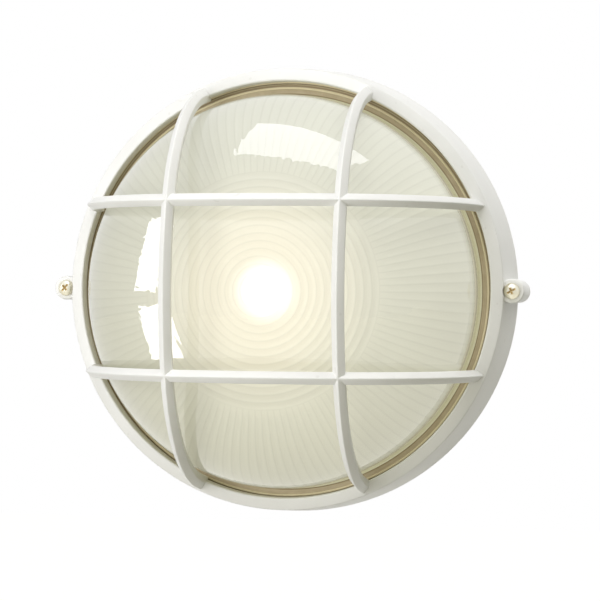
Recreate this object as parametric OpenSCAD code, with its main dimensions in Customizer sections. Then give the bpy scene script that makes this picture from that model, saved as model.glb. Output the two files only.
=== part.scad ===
// Round outdoor bulkhead light: a cast wall pan, a pressed glass dome in a rubber channel,
// and a one-piece cast guard whose four arched bars cross in front of the glass.
// X is to the right, Z is up, the wall is the plane y = 0 and the light faces -Y.

/* [Housing] */
// Depth of the pan, from the wall to the rim that carries the guard
base_depth = 22; // [18:0.5:30]
// Thickness of the pan's outer skirt
skirt_t = 2.6; // [2:0.1:4]
// Thickness of the pan's floor
floor_t = 3; // [2:0.1:5]
// Height of the inner upstand above the rim, inside the guard
upstand_h = 2.5; // [1.5:0.1:5]
// Thickness of the inner upstand that the glass is clamped against
upstand_t = 3.5; // [2.5:0.1:5]
// Side draft of pan and guard, in millimetres of radius for each millimetre of depth
side_draft = 0.097; // [0.02:0.001:0.15]

/* [Wall side] */
// Radius of the supply entry in the middle of the floor
entry_r = 11; // [6:0.1:14]
// Spacing of the two screw holes that match a round ceiling or wall box
box_pitch = 88.9; // [60:0.1:120]
// Radius of those two holes
box_hole_r = 2.5; // [1.8:0.1:4]
// Radial width of the foam ring that seals against the wall
foam_w = 9; // [5:0.5:12]
// Thickness of the foam ring as it is when the light is fixed
foam_t = 2.5; // [1.5:0.1:4]
// Radius of the weep hole at the lowest point of the pan
weep_r = 2; // [1:0.1:3]

/* [Guard] */
// Width of the gap between the glass and the guard's opening
open_gap = 6.8; // [5:0.1:7]
// Width of the guard's sloping face, from the opening to its outer crease
face_w = 6.8; // [6:0.1:12]
// Distance from the wall to the inner edge of the guard's face
lip_z = 41.5; // [38:0.1:50]
// Height of the guard's face above its outer crease
face_drop = 2.5; // [1:0.1:5]
// Radius of the small edge roundings on the guard
guard_edge_r = 0.9; // [0.3:0.1:1.5]
// Distance of each bar's centre line from the middle of the light
bar_off = 45.4; // [30:0.1:60]
// Width of a bar across its eaves
bar_w = 6.6; // [4:0.1:10]
// Thickness of a bar from its ridge to its back
bar_t = 8; // [6:0.1:11]
// Height of the roof shape on a bar's front
roof_h = 3.6; // [1.5:0.1:5]
// Draft on each side of a bar, from the eaves to the back
bar_draft = 0.5; // [0:0.1:1]
// Greatest distance of the bars from the wall
proj = 121; // [112:0.5:140]
// Radius of the long arc over the glass
crown_r = 180; // [150:1:260]
// Radius of the knee between the long arc and the leg
knee_r = 85; // [60:1:92]
// Lean of a leg towards the middle, in degrees
leg_lean = 11; // [6:0.5:16]

/* [Glass] */
// Radius of the glass at the foot of its dome
glass_r = 106.6; // [95:0.1:120]
// Distance from the wall to the crown of the dome
glass_crown_z = 101; // [85:0.5:105]
// Radius of the dome's shallow crown
glass_crown_r = 236; // [160:1:320]
// Radius of the dome's shoulder
shoulder_r = 46; // [30:0.5:52]
// Wall of the pressed glass
glass_t = 4; // [3:0.1:6]
// Thickness of the flange at the foot of the dome
flange_t = 4.5; // [3:0.1:6]
// Width of the flange beyond the dome
flange_w = 7; // [4:0.1:7.5]
// Radius of the middle of the dome that has ring-shaped ribs
ring_zone_r = 61; // [30:0.5:72]
// Spacing of the ring-shaped ribs
ring_pitch = 4; // [3.5:0.1:8]
// Number of radial ribs around the ring-shaped ones
rib_n = 115; // [40:1:120]
// Width of a radial rib
rib_w = 1.8; // [1:0.1:2.4]
// Height of the ribs on the inside of the glass
rib_h = 0.7; // [0.3:0.1:1]
// Distance by which glass and rubber hang low in their pocket
glass_drop = 1.2; // [0:0.1:1.2]

/* [Rubber channel] */
// Thickness of the lips that hold the flange
rubber_t = 2; // [1:0.1:3]
// Thickness of the web around the edge of the flange
rubber_web = 1.6; // [1:0.1:3]
// Height by which the front lip's land and larger bead stand out
bead_h = 0.7; // [0.3:0.1:0.9]

/* [Cover screws] */
// Distance of each screw's axis outside the guard's crease
ear_out = 4.1; // [3.5:0.1:6]
// Radius of the round ears that the screws hold together
ear_r = 6.6; // [6:0.1:8]
// Thickness of a guard ear
ear_t = 14.5; // [10:0.5:16]
// Distance from the wall to the rounded back end of a pan ear
ear_end_z = 0.8; // [0.5:0.1:6]
// Radius of a screw's shank
screw_r = 2.4; // [1.5:0.1:3]
// Length of a screw below its head
screw_l = 25; // [20:0.5:27]
// Radius of a screw's pan head
head_r = 4.4; // [3.5:0.1:5.5]
// Height of a screw's pan head
head_h = 3.2; // [2:0.1:4]

/* [Lampholder] */
// Distance from the wall to the lamp's axis
lamp_z = 47; // [44:0.5:52]
// Radius of the porcelain body
holder_r = 20; // [18.5:0.5:23]
// Length of the porcelain body
holder_l = 34; // [32:0.5:40]
// Height of the holder's mouth relative to the middle of the light
mouth_y = -52; // [-54:0.5:-50]
// Inner radius of the screw shell
shell_r = 13.5; // [13.4:0.1:14]
// Thickness of the screw shell
shell_t = 0.5; // [0.3:0.1:1]
// Thickness of the sheet steel bracket
bracket_t = 1.5; // [1:0.1:2.5]
// Width of the bracket's arm
arm_w = 34; // [24:1:38]
// Width of the bracket's foot
foot_w = 66; // [60:1:80]
// Spacing of the two screws that hold the bracket
bracket_pitch = 52; // [50:1:66]
// Height of the bosses under the bracket, above the floor
boss_h = 5; // [3:0.5:8]

/* [Lamp] */
// Radius of the lamp's globe
globe_r = 30; // [24:0.5:32]
// Radius of the lamp's neck
neck_r = 13.8; // [13.2:0.1:16]
// Radius of the concave blend from globe to neck
neck_blend_r = 45; // [30:1:60]
// Radius of the lamp's screw cap
cap_r = 13.1; // [12.5:0.1:13.3]
// Length of the lamp's screw cap with its contact
cap_l = 26; // [24:0.5:27]

/* [Hidden] */
$fn = 96;

// Clearances: running gap of parts that drop in, play of a screw in a plain hole, of a thread
gap = 0.3;
hole_play = 0.2;
thread_play = 0.05;
shell_play = 0.1;

// Guard and pan: one drafted side that runs from the guard's crease back to the wall
open_r = glass_r + open_gap;
crease_z = lip_z - face_drop;
crease_r = open_r + face_w;
base_r = crease_r + side_draft * crease_z;
function skirt_r(z) = base_r - side_draft * z;

// Pan: radii at the rim, and the two shells of its double wall
pocket_z = base_depth + upstand_h;
glass_z = pocket_z + rubber_t;
rubber_in_r = glass_r + gap;
rubber_out_r = glass_r + flange_w + gap + rubber_web;
pocket_r = rubber_out_r + glass_drop + gap;
upstand_out_r = pocket_r - gap;
upstand_in_r = rubber_in_r;
core_in_r = upstand_in_r + upstand_t;
core_z = base_depth - floor_t;
foam_out_r = upstand_in_r + 1.5;
foam_in_r = foam_out_r - foam_w;
pan_draft = 1;
pan_edge_r = 1.2;

// Guard: the arch of a bar is a long arc, two knees and two straight legs, all tangent
lip_back_z = glass_z + flange_t + rubber_t;
crown_c = proj - crown_r;
foot_u = sqrt(pow(crease_r - guard_edge_r, 2) - pow(bar_off, 2));
knee_off = crown_r - knee_r;
knee_a = asin((foot_u * cos(leg_lean) + crease_z * sin(leg_lean) - knee_r
               - crown_c * sin(leg_lean)) / knee_off) - leg_lean;
knee_u = knee_off * sin(knee_a);
knee_v = crown_c + knee_off * cos(knee_a);
leg_root = 3;
leg_l = (knee_v + knee_r * sin(leg_lean) - crease_z + leg_root) / cos(leg_lean);
knee_end = 90 - knee_a;
knee_steps = 16;
crown_steps = 14;

// Section of a bar as [distance below the ridge, offset across]: roof-shaped front,
// drafted sides and a flat back
BAR_SECTION = [[0, 0], [roof_h, bar_w / 2], [bar_t, bar_w / 2 - bar_draft],
               [bar_t, bar_draft - bar_w / 2], [roof_h, -bar_w / 2]];

// Ridge line of a bar as [along, out from the wall, direction of its outward normal]
function leg_end(side) = [side * (knee_u + knee_r * cos(leg_lean) + leg_l * sin(leg_lean)),
    knee_v + knee_r * sin(leg_lean) - leg_l * cos(leg_lean), 90 - side * (90 - leg_lean)];
function on_arc(cu, cv, r, a) = [cu + r * cos(a), cv + r * sin(a), a];
bar_line = concat(
    [leg_end(1)],
    [for (i = [0 : knee_steps])
        on_arc(knee_u, knee_v, knee_r, leg_lean + (knee_end - leg_lean) * i / knee_steps)],
    [for (i = [1 : crown_steps - 1])
        on_arc(0, crown_c, crown_r, knee_end + 2 * knee_a * i / crown_steps)],
    [for (i = [knee_steps : -1 : 0])
        on_arc(-knee_u, knee_v, knee_r, 180 - leg_lean - (knee_end - leg_lean) * i / knee_steps)],
    [leg_end(-1)]);

// Glass: centre of the shoulder, which meets the crown tangentially
crown_zc = glass_crown_z - glass_crown_r;
shoulder_c = glass_r - shoulder_r;
shoulder_zc = crown_zc + sqrt(pow(glass_crown_r - shoulder_r, 2) - pow(shoulder_c, 2));

// Fillet between the flank of the dome and its flange
foot_r = 1;

// Ribs: how deep a radial rib is rooted in the wall, where it starts and where it ends
rib_root = 1;
rib_gap = 1;
rib_foot_z = glass_z + flange_t + 2;
ring_rib_r = 2 * rib_h;

// Rubber: the lips end at the fillet; beads on the front lip as [radius, own radius], and the
// land outside them that the guard presses on
lip_in_r = glass_r + foot_r + gap;
BEADS = [[glass_r + 4.7, bead_h], [glass_r + 6.5, bead_h / 2]];
land_r = glass_r + flange_w + gap;

// Ears and cover screws
ear_x = crease_r + ear_out;
ear_top = base_depth + ear_t;
ear_step = 0.3;
ear_end_r = 1.6;
cross_w = 1.1;
cross_l = 4.8;
cross_h = 1.9;
tap_depth = screw_l - ear_t + 1;

// Lampholder: the lamp's axis is vertical, and its parts are placed along Z
holder_y = mouth_y - holder_l;
bore_depth = 26;
shell_out_r = shell_r + shell_t;
seat_y = mouth_y - bore_depth;
cap_play = 1.1;
cap_y = seat_y + cap_play;
contact_t = 0.8;
bracket_z = floor_t + boss_h;
foot_y0 = holder_y - bracket_t;
foot_l = 26;
boss_y = foot_y0 + 15;
boss_r = 5;
m4_r = 2;
m4_head_r = 3.9;
m4_head_h = 2.6;
washer_t = 0.9;
washer_r = 4.4;
holder_screw_x = 9;
holder_screw_l = 5;
holder_edge_r = 1.5;
holder_lip_r = 2;
holder_taper = 1.5;
contact_well_r = 6;
term_x = 1.5;
term_l = 4;
term_r = 3.6;
term_head_h = 2.2;
term_y = holder_y + 7;
flat_cut = 2;
flat_x = holder_r - flat_cut;
flat_h = 12;
plate_t = 1;
plate_w = 9;
earth_x = -58;
earth_y = -42;
earth_head_r = 4;
earth_head_h = 3;
slot_w = 1;
slot_h = 1.2;
contact_w = 5;
contact_l = 10;
contact_tip_r = 2;

// Lamp: centre of the concave blend that touches the globe and the neck
blend_x = neck_r + neck_blend_r;
blend_y = -sqrt(pow(globe_r + neck_blend_r, 2) - pow(blend_x, 2));
neck_l = 4;
globe_y = cap_y + cap_l + neck_l - blend_y;

// Turns the front view upright: x right, y up and z out from the wall
module facing() rotate([90, 0, 0]) children();

// Puts its children on the lamp's axis, with local z pointing up
module on_lamp_axis() translate([0, -lamp_z, 0]) children();

module mirrored_x() {
    children();
    mirror([1, 0, 0]) children();
}

// Rounds one corner b of a path a-b-c with an arc of radius r in n steps
function corner_arc(a, b, c, r, n = 5) =
    let (u = (a - b) / norm(a - b), w = (c - b) / norm(c - b),
         half = acos(u * w) / 2, t = r / tan(half),
         m = b + (u + w) / norm(u + w) * r / sin(half),
         p = b + u * t - m, q = b + w * t - m,
         turn = atan2(p[0] * q[1] - p[1] * q[0], p * q))
    [for (i = [0 : n]) let (s = turn * i / n)
        m + [p[0] * cos(s) - p[1] * sin(s), p[0] * sin(s) + p[1] * cos(s)]];

// Foam ring pressed into the shallow groove behind the floor
module wall_gasket() color("dimgray") facing()
    difference() {
        cylinder(r = foam_out_r - gap, h = foam_t);
        translate([0, 0, -1]) cylinder(r = foam_in_r + gap, h = foam_t + 2);
    }

// Half section of the pan: floor, foam groove, cored double wall, rim and upstand
module pan_section()
    let (foot = [skirt_r(0) - skirt_t, 0], rim = [skirt_r(base_depth), base_depth])
    polygon(concat(
        [[entry_r, 0], [foam_in_r, 0], [foam_in_r, foam_t], [foam_out_r, foam_t],
         [foam_out_r, 0], [core_in_r, 0], [core_in_r + pan_draft, core_z],
         [skirt_r(core_z) - skirt_t, core_z], foot],
        corner_arc(foot, [base_r, 0], rim, pan_edge_r),
        [rim, [upstand_out_r, base_depth], [upstand_out_r, pocket_z], [upstand_in_r, pocket_z],
         [upstand_in_r - pan_draft, foam_t + floor_t], [foam_in_r - floor_t, foam_t + floor_t],
         [foam_in_r - floor_t - 1, floor_t], [entry_r, floor_t]]));

// Post of a pan ear with its rounded back end, a little slimmer than the guard's ear
module ear_post()
    let (r = ear_r - ear_step)
    translate([ear_x, 0, 0]) rotate_extrude() polygon(concat(
        [[0, base_depth], [0, ear_end_z]],
        corner_arc([0, ear_end_z], [r, ear_end_z], [r, base_depth], ear_end_r),
        [[r, base_depth]]));

module boss(x, y, h) translate([x, y, floor_t - 1]) cylinder(r = boss_r, h = h + 1);

module base_housing() color("whitesmoke") facing()
    difference() {
        union() {
            rotate_extrude() pan_section();
            mirrored_x() difference() {
                ear_post();
                translate([0, 0, -1]) cylinder(r = skirt_r(base_depth) - skirt_t, h = base_depth + 2);
            }
            mirrored_x() boss(bracket_pitch / 2, boss_y, boss_h);
            boss(earth_x, earth_y, boss_h);
        }
        mirrored_x() {
            translate([ear_x, 0, base_depth - tap_depth])
                cylinder(r = screw_r + thread_play, h = tap_depth + 1);
            translate([box_pitch / 2, 0, -1]) cylinder(r = box_hole_r, h = floor_t + 2);
            translate([bracket_pitch / 2, boss_y, 1])
                cylinder(r = m4_r + thread_play, h = floor_t + boss_h);
        }
        translate([earth_x, earth_y, 1]) cylinder(r = m4_r + thread_play, h = floor_t + boss_h);
        translate([0, -upstand_in_r + 4, (floor_t + base_depth) / 2])
            rotate([90, 0, 0]) cylinder(r = weep_r, h = base_r - upstand_in_r + 6);
    }

// Half section of the guard's ring: sloping face, inner lip and skirt over the upstand
module ring_section()
    let (foot = [skirt_r(base_depth), base_depth], crease = [crease_r, crease_z],
         lip = [open_r, lip_z], back = [open_r, lip_back_z])
    polygon(concat(
        [foot], corner_arc(foot, crease, lip, guard_edge_r),
        corner_arc(crease, lip, back, guard_edge_r),
        [back, [pocket_r, lip_back_z], [pocket_r, base_depth]]));

// One arched bar in its own plane, x along the bar and y away from the wall: the section
// is lofted along the ridge line, from one leg over the knee, crown and knee to the other
module bar_arch()
    let (n = len(BAR_SECTION), m = len(bar_line))
    polyhedron(
        points = [for (s = bar_line, q = BAR_SECTION)
            [s[0] - q[0] * cos(s[2]), s[1] - q[0] * sin(s[2]), q[1]]],
        faces = concat(
            [[for (k = [n - 1 : -1 : 0]) k], [for (k = [0 : n - 1]) (m - 1) * n + k]],
            [for (i = [0 : m - 2], k = [0 : n - 1])
                [i * n + k, i * n + (k + 1) % n, (i + 1) * n + (k + 1) % n, (i + 1) * n + k]]));

// Ring, ears and the four crossing bars, cast in one piece
module guard_frame() color("white") facing()
    difference() {
        union() {
            rotate_extrude() ring_section();
            for (side = [-1, 1]) {
                translate([side * bar_off, 0, 0]) rotate([90, 0, 90]) bar_arch();
                translate([0, side * bar_off, 0]) rotate([90, 0, 0]) bar_arch();
            }
            mirrored_x() difference() {
                translate([ear_x, 0, base_depth]) cylinder(r = ear_r, h = ear_t);
                translate([0, 0, base_depth - 1]) cylinder(r = pocket_r + 1, h = ear_t + 2);
            }
        }
        mirrored_x() translate([ear_x, 0, 0]) {
            translate([0, 0, base_depth - 1]) cylinder(r = screw_r + hole_play, h = ear_t + 2);
            translate([0, 0, ear_top]) cylinder(r = head_r + gap, h = lip_z);
        }
    }

// Solid half dome, drawn in by t from the outside of the glass
module dome_half(t) intersection() {
    union() {
        intersection() {
            translate([0, crown_zc]) circle(r = glass_crown_r - t, $fn = 360);
            polygon([[0, glass_z], [0, glass_crown_z + 1],
                     [0, crown_zc] + [shoulder_c, shoulder_zc - crown_zc]
                         * (glass_crown_r + 5) / (glass_crown_r - shoulder_r),
                     [shoulder_c, shoulder_zc], [shoulder_c, glass_z]]);
        }
        translate([shoulder_c, shoulder_zc]) circle(r = shoulder_r - t, $fn = 180);
        translate([0, glass_z - 1]) square([glass_r - t, shoulder_zc - glass_z + 1]);
    }
    translate([0, glass_z - 1]) square([glass_r + 1, glass_crown_z]);
}

// Flat outline of one radial rib, which follows the inside of the dome
module rib_outline() difference() {
    intersection() {
        dome_half(glass_t - rib_root);
        translate([ring_zone_r + rib_gap, rib_foot_z]) square([glass_r, glass_crown_z]);
    }
    dome_half(glass_t + rib_h);
}

// Half section of the glass: shell, flange and the ring-shaped ribs inside the crown
module glass_section() {
    difference() {
        union() {
            intersection() {
                dome_half(0);
                translate([0, glass_z]) square([glass_r + 1, glass_crown_z]);
            }
            translate([0, glass_z]) square([glass_r + flange_w, flange_t]);
            translate([glass_r, glass_z + flange_t]) difference() {
                translate([-1, -1]) square(foot_r + 1);
                translate([foot_r, foot_r]) circle(r = foot_r, $fn = 32);
            }
        }
        dome_half(glass_t);
    }
    for (r = [ring_pitch : ring_pitch : ring_zone_r])
        translate([r, crown_zc + sqrt(pow(glass_crown_r - glass_t + rib_h, 2) - r * r)])
            circle(r = ring_rib_r, $fn = 32);
}

// Pressed dome: rings inside the crown and radial ribs around them down to the flank
module glass_lens() color("lightyellow", 0.6) facing() translate([0, -glass_drop, 0]) {
    rotate_extrude() glass_section();
    for (i = [0 : rib_n - 1]) rotate([0, 0, 360 * i / rib_n])
        rotate([90, 0, 0]) linear_extrude(rib_w, center = true) rib_outline();
}

// Half section of the rubber channel: two lips and a web around the flange of the glass,
// with beads and a land on the front lip
module rubber_section() difference() {
    union() {
        translate([lip_in_r, pocket_z])
            square([rubber_out_r - lip_in_r, flange_t + 2 * rubber_t - bead_h]);
        translate([land_r, pocket_z])
            square([rubber_out_r - land_r, flange_t + 2 * rubber_t]);
        for (bead = BEADS) translate([bead[0], lip_back_z - bead_h]) circle(r = bead[1]);
    }
    translate([glass_r, glass_z]) square([flange_w + gap, flange_t]);
}

module lens_gasket() color("tan") facing() translate([0, -glass_drop, 0])
    rotate_extrude() rubber_section();

// Pan head with a cross recess; the shank points down
module pan_head_screw(r, l, hr, hh) difference() {
    union() {
        translate([0, 0, -l]) cylinder(r = r, h = l);
        rotate_extrude() intersection() {
            square([hr, hh]);
            translate([0, hh - 1.6 * hr]) circle(r = 1.6 * hr);
        }
    }
    translate([0, 0, hh - cross_h]) intersection() {
        for (turn = [20, 110]) rotate([0, 0, turn])
            translate([-cross_l / 2, -cross_w / 2, 0]) cube([cross_l, cross_w, cross_h + 1]);
        cylinder(r1 = 0.8, r2 = cross_l / 2, h = cross_h + 1);
    }
}

module cover_screws() color("gainsboro") facing()
    for (side = [-1, 1]) translate([side * ear_x, 0, ear_top])
        pan_head_screw(screw_r, screw_l, head_r, head_h);

// Folded steel bracket: foot on the two bosses, arm under the porcelain
module holder_bracket() color("silver") facing()
    difference() {
        union() {
            translate([-foot_w / 2, foot_y0, bracket_z]) cube([foot_w, foot_l, bracket_t]);
            translate([-arm_w / 2, foot_y0, bracket_z])
                cube([arm_w, bracket_t, lamp_z - bracket_z]);
            translate([0, foot_y0, lamp_z]) rotate([-90, 0, 0])
                cylinder(r = arm_w / 2, h = bracket_t);
        }
        mirrored_x() {
            translate([bracket_pitch / 2, boss_y, 0])
                cylinder(r = m4_r + hole_play, h = lamp_z);
            translate([holder_screw_x, foot_y0 - 1, lamp_z]) rotate([-90, 0, 0])
                cylinder(r = m4_r + hole_play, h = bracket_t + 2);
        }
    }

module bracket_screws() color("gainsboro") facing()
    for (side = [-1, 1])
        translate([side * bracket_pitch / 2, boss_y, bracket_z + bracket_t + washer_t])
            slotted_screw(m4_r, boss_h + bracket_t, m4_head_r, m4_head_h);

module bracket_washers() color("silver") facing()
    for (side = [-1, 1])
        translate([side * bracket_pitch / 2, boss_y, bracket_z + bracket_t]) washer(washer_t);

module washer(t) difference() {
    cylinder(r = washer_r, h = t);
    translate([0, 0, -1]) cylinder(r = m4_r + hole_play, h = t + 2);
}

// Round-headed slotted screw; the shank points down
module slotted_screw(r, l, hr, hh) difference() {
    union() {
        translate([0, 0, -l]) cylinder(r = r, h = l);
        rotate_extrude() intersection() {
            square([hr, hh]);
            translate([0, hh - 1.3 * hr]) circle(r = 1.3 * hr);
        }
    }
    translate([-hr - 1, -slot_w / 2, hh - slot_h]) cube([2 * hr + 2, slot_w, slot_h + 1]);
}

// Porcelain cup of the lampholder, with a flat for each terminal
module holder_body() color("white") on_lamp_axis()
    difference() {
        translate([0, 0, holder_y]) rotate_extrude() polygon(concat([[0, 0]],
            corner_arc([0, 0], [holder_r - holder_taper, 0], [holder_r, holder_l], holder_edge_r),
            corner_arc([holder_r - holder_taper, 0], [holder_r, holder_l], [0, holder_l],
                       holder_lip_r),
            [[0, holder_l]]));
        translate([0, 0, seat_y]) cylinder(r = shell_out_r + shell_play, h = bore_depth + 1);
        translate([0, 0, seat_y - contact_t]) cylinder(r = contact_well_r, h = bore_depth);
        mirrored_x() {
            translate([flat_x, -plate_w / 2, holder_y - 1])
                cube([flat_cut + 1, plate_w, flat_h + 1]);
            translate([holder_screw_x, 0, holder_y - 1])
                cylinder(r = m4_r + thread_play, h = holder_screw_l + 2);
            translate([flat_x - term_l, 0, term_y]) rotate([0, 90, 0])
                cylinder(r = term_x + thread_play, h = term_l + flat_cut + 1);
        }
    }

module holder_screws() color("gainsboro") on_lamp_axis()
    for (side = [-1, 1]) translate([side * holder_screw_x, 0, foot_y0]) rotate([180, 0, 0])
        slotted_screw(m4_r, bracket_t + holder_screw_l, m4_head_r, m4_head_h);

// Threaded shell that takes the lamp's cap, open at both ends
module screw_shell() color("gold") on_lamp_axis() translate([0, 0, seat_y])
    difference() {
        cylinder(r = shell_out_r, h = bore_depth - 1);
        translate([0, 0, -1]) cylinder(r = shell_r, h = bore_depth + 2);
    }

// Spring tongue under the lamp's tip
module centre_contact() color("goldenrod") on_lamp_axis()
    translate([0, 0, seat_y - contact_t]) {
        translate([-contact_l / 2, -contact_w / 2, 0]) cube([contact_l, contact_w, contact_t]);
        cylinder(r = contact_tip_r, h = contact_t + cap_play - thread_play);
    }

module terminal_plate() on_lamp_axis()
    difference() {
        translate([flat_x, gap - plate_w / 2, holder_y + 1])
            cube([plate_t, plate_w - 2 * gap, flat_h - 1 - gap]);
        translate([flat_x - 1, 0, term_y]) rotate([0, 90, 0])
            cylinder(r = term_x + hole_play, h = plate_t + 2);
    }

module terminal_screw() on_lamp_axis()
    translate([flat_x + plate_t, 0, term_y]) rotate([0, 90, 0])
        slotted_screw(term_x, term_l, term_r, term_head_h);

module line_plate() color("goldenrod") terminal_plate();
module neutral_plate() color("silver") mirror([1, 0, 0]) terminal_plate();
module line_screw() color("goldenrod") terminal_screw();
module neutral_screw() color("silver") mirror([1, 0, 0]) terminal_screw();

// Hexagon earthing screw with a slot
module ground_screw() color("seagreen") facing()
    translate([earth_x, earth_y, floor_t + boss_h + washer_t]) difference() {
        union() {
            translate([0, 0, -boss_h - washer_t]) cylinder(r = m4_r, h = boss_h + washer_t);
            cylinder(r = earth_head_r, h = earth_head_h, $fn = 6);
        }
        translate([-earth_head_r - 1, -slot_w / 2, earth_head_h - slot_h])
            cube([2 * earth_head_r + 2, slot_w, slot_h + 1]);
    }

module ground_washer() color("gold") facing()
    translate([earth_x, earth_y, floor_t + boss_h]) washer(washer_t);

// Points on an arc about [cx, cy] from angle a0 to a1
function arc_points(cx, cy, r, a0, a1, n) =
    [for (i = [0 : n]) [cx, cy] + r * [cos(a0 + (a1 - a0) * i / n), sin(a0 + (a1 - a0) * i / n)]];

// Half outline of the lamp about the centre of its globe: globe, concave neck, cap and tip
module bulb_half()
    let (touch_a = atan2(blend_y, blend_x), tip = cap_y - globe_y)
    polygon(concat(
        arc_points(0, 0, globe_r, 90, touch_a, 24),
        arc_points(blend_x, blend_y, neck_blend_r, 180 + touch_a - 2, 180, 8),
        [[neck_r, tip + cap_l], [cap_r, tip + cap_l], [cap_r, tip + 6.5], [9, tip + 4],
         [4.8, tip + 1], [4, tip], [0, tip]]));

module bulb() color("ivory") on_lamp_axis() translate([0, 0, globe_y])
    rotate_extrude() bulb_half();

wall_gasket();
base_housing();
guard_frame();
glass_lens();
lens_gasket();
cover_screws();
holder_bracket();
bracket_screws();
bracket_washers();
holder_body();
holder_screws();
screw_shell();
centre_contact();
line_plate();
neutral_plate();
line_screw();
neutral_screw();
ground_screw();
ground_washer();
bulb();
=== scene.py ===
"""Looks of the outdoor wall light: visual pieces, materials, studio light and camera."""

import math

import bmesh
import bpy
from mathutils import Matrix, Vector


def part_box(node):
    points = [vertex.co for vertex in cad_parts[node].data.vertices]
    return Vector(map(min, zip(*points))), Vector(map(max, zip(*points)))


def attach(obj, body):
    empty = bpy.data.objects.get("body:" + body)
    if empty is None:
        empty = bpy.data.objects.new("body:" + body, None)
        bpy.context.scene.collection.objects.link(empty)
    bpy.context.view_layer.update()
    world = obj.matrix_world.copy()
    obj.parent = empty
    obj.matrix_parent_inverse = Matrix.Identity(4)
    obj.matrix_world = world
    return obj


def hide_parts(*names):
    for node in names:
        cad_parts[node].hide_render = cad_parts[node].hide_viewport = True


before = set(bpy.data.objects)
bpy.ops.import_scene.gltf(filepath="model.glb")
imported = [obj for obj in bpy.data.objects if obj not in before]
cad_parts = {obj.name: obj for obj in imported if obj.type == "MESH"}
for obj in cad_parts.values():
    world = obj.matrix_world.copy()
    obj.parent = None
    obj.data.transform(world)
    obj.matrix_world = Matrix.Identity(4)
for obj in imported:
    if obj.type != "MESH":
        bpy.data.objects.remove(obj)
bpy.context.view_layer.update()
scene = bpy.context.scene
MM = 0.001

# Camera, fitted to the photograph (angles in degrees, lengths in metres and pixels)
CAM_AZIMUTH = 12.053
CAM_ELEVATION = 0.034
CAM_ROLL = 0.494
CAM_DISTANCE = 1.2
CAM_TARGET = Vector((0.009575, -0.040, -0.006002))
FOCAL_PX = 2210.744
IMAGE_LONG_SIDE = 601
SENSOR = 36.0
CLIP_NEAR = 0.05
CLIP_FAR = 30

# Guard ring. Sizes of the part are in millimetres, as in the CAD source, and a depth is a
# distance from the wall
BASE_DEPTH = 22.0
SIDE_DRAFT = 0.097
LIP_DEPTH = 41.5
FACE_DROP = 2.5
CREASE_DEPTH = LIP_DEPTH - FACE_DROP
OPEN_R = 113.4
CREASE_R = 120.2
BASE_R = CREASE_R + SIDE_DRAFT * CREASE_DEPTH
POCKET_R = 117.0
LIP_BACK = 33.0
CREASE_ROUND = 1.1
MOUTH_ROUND = 0.9
LIP_ROUND = 0.5

# Ears of the guard, with play around the screws and their heads
EAR_X = 124.3
EAR_R = 6.6
EAR_TOP = 36.5
EAR_ROUND = 0.9
SCREW_PLAY = 0.2
HEAD_PLAY = 0.3

# Bars of the guard
BAR_OFF = 45.4
BAR_W = 6.6
BAR_T = 8.0
ROOF_H = 3.6
BAR_DRAFT = 0.5
BAR_ROUNDS = (0.7, 0.9, 0.7, 0.7, 0.9)
PROJ = 121.0
CROWN_R = 180.0
KNEE_R = 85.0
LEG_LEAN = math.radians(11)
LEG_ROOT = 3.0
LEG_STATIONS = (1, 0.66, 0.33)
GUARD_EDGE = 0.9

# Glass; the ribs were counted again on the photograph, and the CAD source has 115 radial ones
GLASS_R = 106.6
GLASS_CROWN = 101.0
GLASS_CROWN_R = 236.0
SHOULDER_R = 46.0
GLASS_T = 4.0
FLANGE_T = 4.5
FLANGE_W = 7.0
GLASS_FOOT = 26.5
FLANGE_TOP = GLASS_FOOT + FLANGE_T
FOOT_R = 1.0
GLASS_DROP = 1.2
RING_COUNT = 15
RING_PITCH = 4.0
RING_EDGE = (RING_COUNT + 0.5) * RING_PITCH
RING_H = 0.4
RADIAL_RIBS = 120
RIB_H = 0.25

# Rubber; a bead is its radius and its height
POCKET_DEPTH = 24.5
RUBBER_GAP = 0.3
RUBBER_WALL = 1.9
RUBBER_IN_R = GLASS_R + FOOT_R + RUBBER_GAP
RUBBER_OUT_R = GLASS_R + FLANGE_W + RUBBER_WALL
LAND_R = GLASS_R + FLANGE_W + RUBBER_GAP
BEAD_H = 0.7
BEADS = ((GLASS_R + 4.7, BEAD_H), (GLASS_R + 6.5, BEAD_H / 2))
RUBBER_ROUND = 0.35
LAND_ROUND = 0.25

# Cover screws; a wing of the recess is its turn in degrees, half width and half length
SCREW_R = 2.4
SCREW_L = 25.0
HEAD_R = 4.4
HEAD_H = 3.2
HEAD_RIM = 0.9
HEAD_EDGE = 0.3
DOME_ANGLE = math.radians(62)
THREAD_PITCH = 0.8
THREAD_DEPTH = 0.42
THREAD_END = -2.2
RECESS_DEPTH = 2.3
WINGS = ((0, 0.5, 3.0), (81, 0.55, 2.0))

# Steps around the light's axis, and of the curves
TURN_STEPS = 288
KNEE_STEPS = 32
CROWN_STEPS = 24
DOME_CROWN_STEPS = 30
DOME_SHOULDER_STEPS = 40
RIB_STEPS = 6
RING_STEPS = 6
BEAD_STEPS = 8
HEAD_STEPS = 10

# A lift keeps two faces of a boolean out of one plane; points closer than WELD are merged
LIFT = 0.02
WELD = 0.001

# Material slots of the glass
OUTER, INNER, EDGE = 0, 1, 2

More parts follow.
